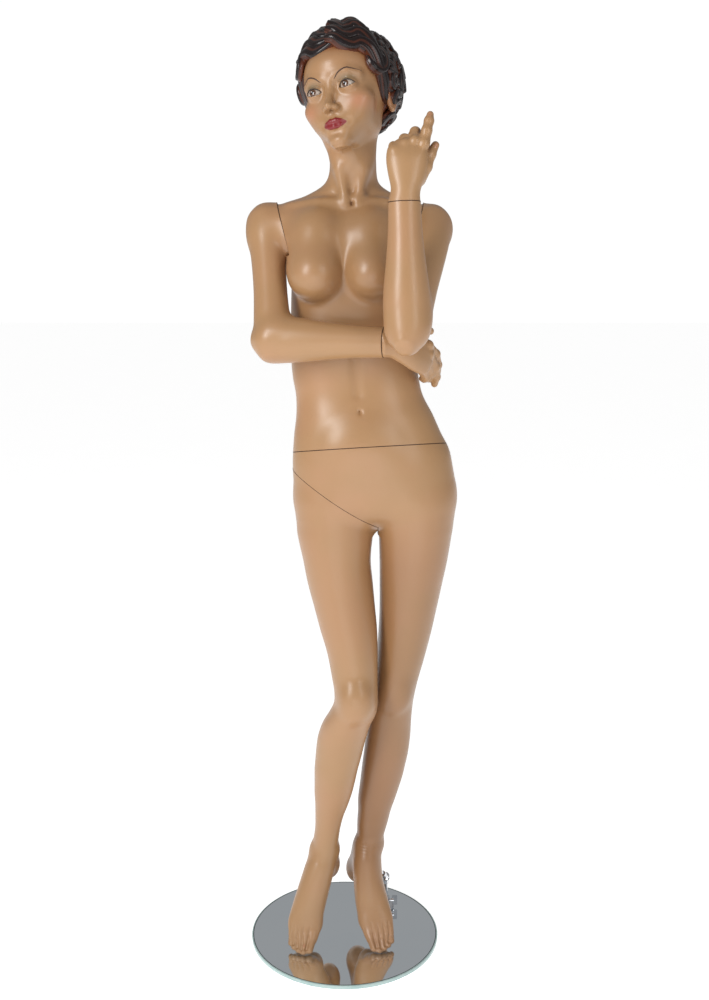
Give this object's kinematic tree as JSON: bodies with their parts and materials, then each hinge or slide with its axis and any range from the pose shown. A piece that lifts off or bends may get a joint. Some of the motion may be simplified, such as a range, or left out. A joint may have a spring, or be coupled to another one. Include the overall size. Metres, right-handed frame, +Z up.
{
  "type": "full body mannequin",
  "caption": "Standing female display mannequin with folded arms, one hand raised, sculpted hair, removable torso, arms, hands and leg, on a round mirror-glass base with an ankle rod.",
  "frame": {"origin": "centre of the underside of the round base, at the floor", "axes": "+Z up, the figure faces -Y, +X is towards the figure's own left hand"},
  "size_m": [0.4005, 0.4121, 1.776],
  "materials": {
    "painted_skin": "satin tan paint with airbrushed shading over glass-fibre",
    "mirror_glass": "cool grey mirror-backed glass with a polished edge",
    "bright_steel": "bright chrome plate",
    "fitting_plate": "grey-brown primed steel closing plate",
    "black_rubber": "matt black rubber"
  },
  "bodies": {
    "base": {"base_disc": "mirror_glass", "base_pad_center": "black_rubber", "base_pad_1": "black_rubber", "base_pad_2": "black_rubber", "base_pad_3": "black_rubber", "base_pad_4": "black_rubber", "base_pad_5": "black_rubber", "base_pad_6": "black_rubber", "flange_gasket": "black_rubber", "rod_flange": "bright_steel", "flange_bolt": "bright_steel", "support_rod": "bright_steel", "rod_clamp": "bright_steel", "ankle_pin": "bright_steel"},
    "wing_screw": {"rod_wing_screw": "bright_steel"},
    "lower_body": {"lower_body_shell": "painted_skin", "ankle_socket": "bright_steel", "hip_leg_plate": "fitting_plate", "hip_waist_plate": "fitting_plate", "waist_spigot": "bright_steel"},
    "right_leg": {"right_leg_shell": "painted_skin", "leg_top_plate": "fitting_plate", "leg_key": "bright_steel"},
    "upper_body": {"torso_shell": "painted_skin", "torso_waist_plate": "fitting_plate", "waist_socket": "bright_steel", "right_torso_shoulder_plate": "fitting_plate", "left_torso_shoulder_plate": "fitting_plate"},
    "right_arm": {"right_arm_shell": "painted_skin", "right_arm_shoulder_plate": "fitting_plate", "right_shoulder_key": "bright_steel", "right_wrist_plate": "fitting_plate"},
    "left_arm": {"left_arm_shell": "painted_skin", "left_arm_shoulder_plate": "fitting_plate", "left_shoulder_key": "bright_steel", "left_wrist_plate": "fitting_plate"},
    "right_hand": {"right_hand": "painted_skin", "right_wrist_peg": "bright_steel"},
    "left_hand": {"left_hand": "painted_skin", "left_wrist_peg": "bright_steel"}
  },
  "joints": [
    {"name": "body_lift", "type": "slide", "parent": "base", "child": "lower_body", "axis": [-0.4392, -0.539, 0.7187], "range_m": [0, 0.035]},
    {"name": "leg_turn", "type": "hinge", "parent": "lower_body", "child": "right_leg", "pos_m": [-0.03492, 0, 0.93768], "axis": [-0.5471, 0, -0.8371], "range_deg": [0, 10]},
    {"name": "torso_lift", "type": "slide", "parent": "lower_body", "child": "upper_body", "axis": [-0.0589, 0.1768, 0.9825], "range_m": [0, 0.05]},
    {"name": "right_arm_lift", "type": "slide", "parent": "upper_body", "child": "right_arm", "axis": [-0.2588, 0, 0.9659], "range_m": [0, 0.0115]},
    {"name": "left_arm_lift", "type": "slide", "parent": "upper_body", "child": "left_arm", "axis": [0.2588, 0, 0.9659], "range_m": [0, 0.0115]},
    {"name": "right_hand_twist", "type": "hinge", "parent": "right_arm", "child": "right_hand", "pos_m": [0.0714, -0.122, 1.222], "axis": [0.9725, -0.2327, -0.0074], "range_deg": [-20, 0]},
    {"name": "left_hand_twist", "type": "hinge", "parent": "left_arm", "child": "left_hand", "pos_m": [0.103, -0.172, 1.4575], "axis": [-0.0281, 0.0844, 0.996], "range_deg": [-25, 25]},
    {"name": "wing_screw_turn", "type": "hinge", "parent": "base", "child": "wing_screw", "pos_m": [0.086, 0.085, 0.028], "axis": [1, 0, 0], "continuous": true}
  ]
}
